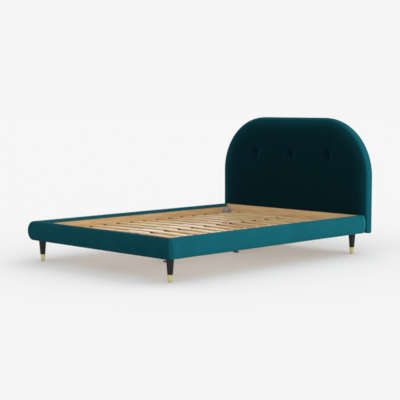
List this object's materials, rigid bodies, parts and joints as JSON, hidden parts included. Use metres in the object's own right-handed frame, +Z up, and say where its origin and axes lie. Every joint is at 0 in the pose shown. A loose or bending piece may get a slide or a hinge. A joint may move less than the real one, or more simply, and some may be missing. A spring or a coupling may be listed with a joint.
{
  "type": "bed frame",
  "caption": "Upholstered double bed frame: arched buttoned headboard, bowed padded rails, tapered legs with metal ferrules, sprung slats on a centre rail with levelling feet.",
  "frame": {"origin": "on the floor, at the middle of the overall length and width", "axes": "+X across the bed to the right as seen from the foot, +Y from the foot to the headboard, +Z up"},
  "size_m": [1.56, 2.192, 1.058],
  "materials": {
    "velvet": "short-pile cotton velvet, teal",
    "foam": "cut upholstery foam",
    "plywood": "sanded plywood, unfinished",
    "pine": "planed pine, unfinished",
    "birch_slat": "bent laminated birch, clear lacquer",
    "black_beech": "turned beech, black satin stain",
    "brass": "brushed, lacquered",
    "black_nylon": "moulded nylon",
    "moulded_plastic": "moulded polypropylene, fine texture",
    "black_steel": "black powder coat",
    "zinc_steel": "bright zinc plate",
    "lining_cloth": "black non-woven lining",
    "twine": "waxed nylon twine"
  },
  "bodies": {
    "frame": {"headboard_panel": "plywood", "headboard_rim": "pine", "headboard_uprights": "pine", "headboard_bottom_rail": "pine", "headboard_foam": "foam", "headboard_cover": "velvet", "headboard_back_cloth": "lining_cloth", "headboard_buttons": "velvet", "button_ties": "twine", "side_rail_board_left": "plywood", "side_rail_board_right": "plywood", "side_rail_foam_left": "foam", "side_rail_foam_right": "foam", "side_rail_cover_left": "velvet", "side_rail_cover_right": "velvet", "foot_rail_board": "plywood", "foot_rail_foam": "foam", "foot_rail_cover": "velvet", "head_rail_board": "plywood", "corner_blocks": "pine", "leg_foot_left": "black_beech", "leg_foot_right": "black_beech", "leg_head_left": "black_beech", "leg_head_right": "black_beech", "leg_ferrules": "brass", "leg_glides": "black_nylon", "hanger_bolts": "zinc_steel", "headboard_bolts": "zinc_steel", "tee_nuts": "zinc_steel", "slat_ledge_left": "pine", "slat_ledge_right": "pine", "ledge_screws": "zinc_steel", "corner_brackets": "zinc_steel", "plate_screws": "zinc_steel", "centre_rail": "pine", "centre_rail_hangers": "zinc_steel", "centre_leg_front": "black_steel", "centre_leg_rear": "black_steel", "leveller_inserts": "black_nylon", "slat_holders": "moulded_plastic", "slat_saddles": "moulded_plastic", "slat_01": "birch_slat", "slat_02": "birch_slat", "slat_03": "birch_slat", "slat_04": "birch_slat", "slat_05": "birch_slat", "slat_06": "birch_slat", "slat_07": "birch_slat", "slat_08": "birch_slat", "slat_09": "birch_slat", "slat_10": "birch_slat", "slat_11": "birch_slat", "slat_12": "birch_slat", "slat_13": "birch_slat", "slat_14": "birch_slat"},
    "front_pad": {"leveller_pad_front": "black_nylon"},
    "front_stem": {"leveller_stem_front": "zinc_steel"},
    "rear_pad": {"leveller_pad_rear": "black_nylon"},
    "rear_stem": {"leveller_stem_rear": "zinc_steel"}
  },
  "joints": [
    {"name": "front_pad_slide", "type": "slide", "parent": "frame", "child": "front_pad", "axis": [0, 0, 1], "range_m": [-0.012, 0.012]},
    {"name": "front_stem_turn", "type": "hinge", "parent": "front_pad", "child": "front_stem", "pos_m": [0, -0.3995, 0.012], "axis": [0, 0, 1], "range_deg": [-2880, 2880]},
    {"name": "rear_pad_slide", "type": "slide", "parent": "frame", "child": "rear_pad", "axis": [0, 0, 1], "range_m": [-0.012, 0.012]},
    {"name": "rear_stem_turn", "type": "hinge", "parent": "rear_pad", "child": "rear_stem", "pos_m": [0, 0.3605, 0.012], "axis": [0, 0, 1], "range_deg": [-2880, 2880]}
  ],
  "couplings": [
    {"joint": "front_stem_turn", "follows": "front_pad_slide", "rad_per_m": 4188.8},
    {"joint": "rear_stem_turn", "follows": "rear_pad_slide", "rad_per_m": 4188.8}
  ]
}
